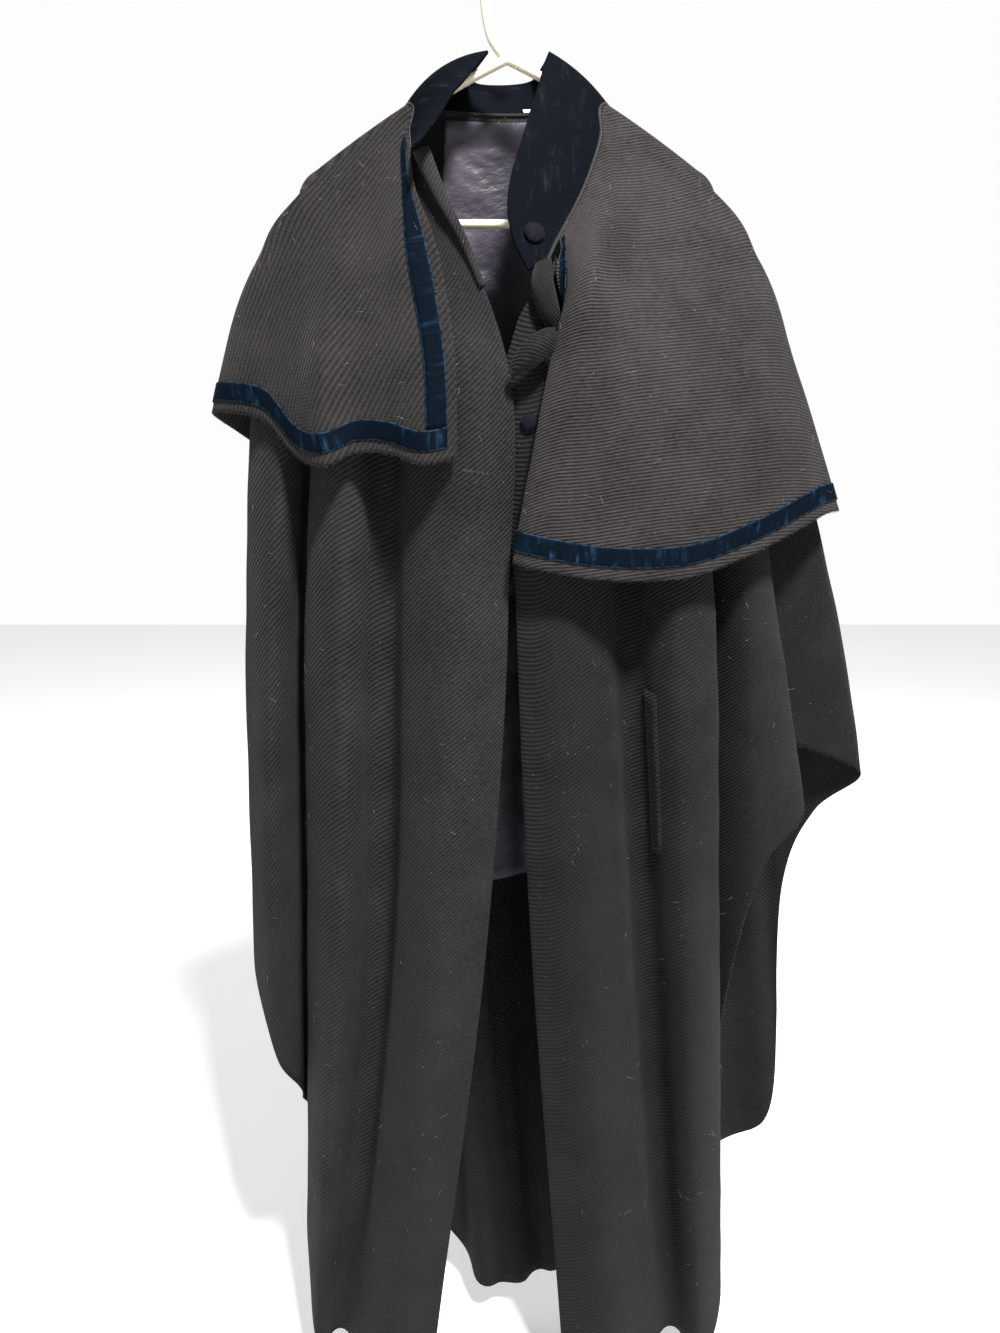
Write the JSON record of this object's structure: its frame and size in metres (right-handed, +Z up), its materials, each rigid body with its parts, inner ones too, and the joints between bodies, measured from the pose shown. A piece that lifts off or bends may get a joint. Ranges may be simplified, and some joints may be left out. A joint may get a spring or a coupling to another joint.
{
  "type": "wool cloak on hanger",
  "caption": "Long wool cloak with a shoulder cape, a velvet stand collar and ribbon trim, hanging open on a plastic tube hanger.",
  "frame": {"origin": "top of the inside of the hanger's hook, where a rail carries it", "axes": "+Z up, -Y towards the cloak's open front, +X to the viewer's right, which is the wearer's left"},
  "size_m": [0.738, 0.2773, 1.5251],
  "materials": {
    "wool": "dark grey twill, matte, slightly napped",
    "velvet": "near-black navy velvet",
    "ribbon": "dark blue velvet ribbon with a sheen",
    "satin": "grey-purple satin lining",
    "tape": "cream woven tape",
    "plastic": "ivory, smooth"
  },
  "bodies": {
    "root": {"hanger": "plastic", "front_right": "wool", "front_left": "wool", "back": "wool", "cape_right": "wool", "cape_left": "wool", "welt_left": "wool", "lining_back": "satin", "collar": "velvet", "collar_button": "velvet", "front_button": "velvet", "neck_loop": "tape", "trim_front_right": "ribbon", "trim_front_left": "ribbon", "trim_hem_right": "ribbon", "trim_hem_left": "ribbon"}
  },
  "joints": []
}
